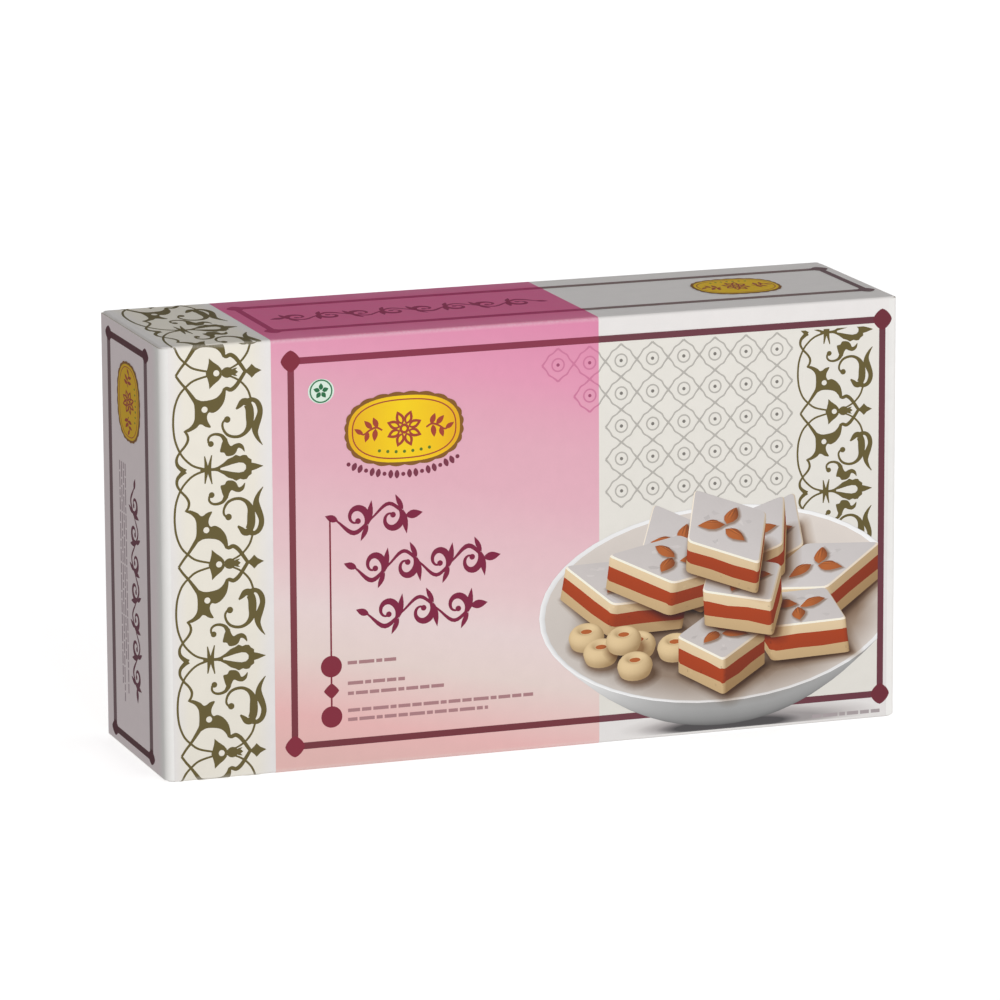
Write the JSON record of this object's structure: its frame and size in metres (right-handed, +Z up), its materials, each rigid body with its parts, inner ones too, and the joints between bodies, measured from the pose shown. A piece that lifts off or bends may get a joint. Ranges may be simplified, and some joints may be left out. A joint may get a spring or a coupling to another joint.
{
  "type": "sweets carton",
  "caption": "Closed folding paperboard carton of sweets, printed all round, standing on a long narrow panel as a shelf or gift pack.",
  "frame": {"origin": "centre of the bounding box's bottom, on the long narrow panel that the carton stands on", "axes": "+X along the long side, towards the end at the right of the front panel; +Y from the front panel to the back panel, across the depth; +Z up"},
  "size_m": [0.224, 0.061, 0.126],
  "materials": {
    "printed_board": "clay-coated folding boxboard with satin-varnished print"
  },
  "bodies": {
    "root": {"carton": "printed_board"}
  },
  "joints": []
}
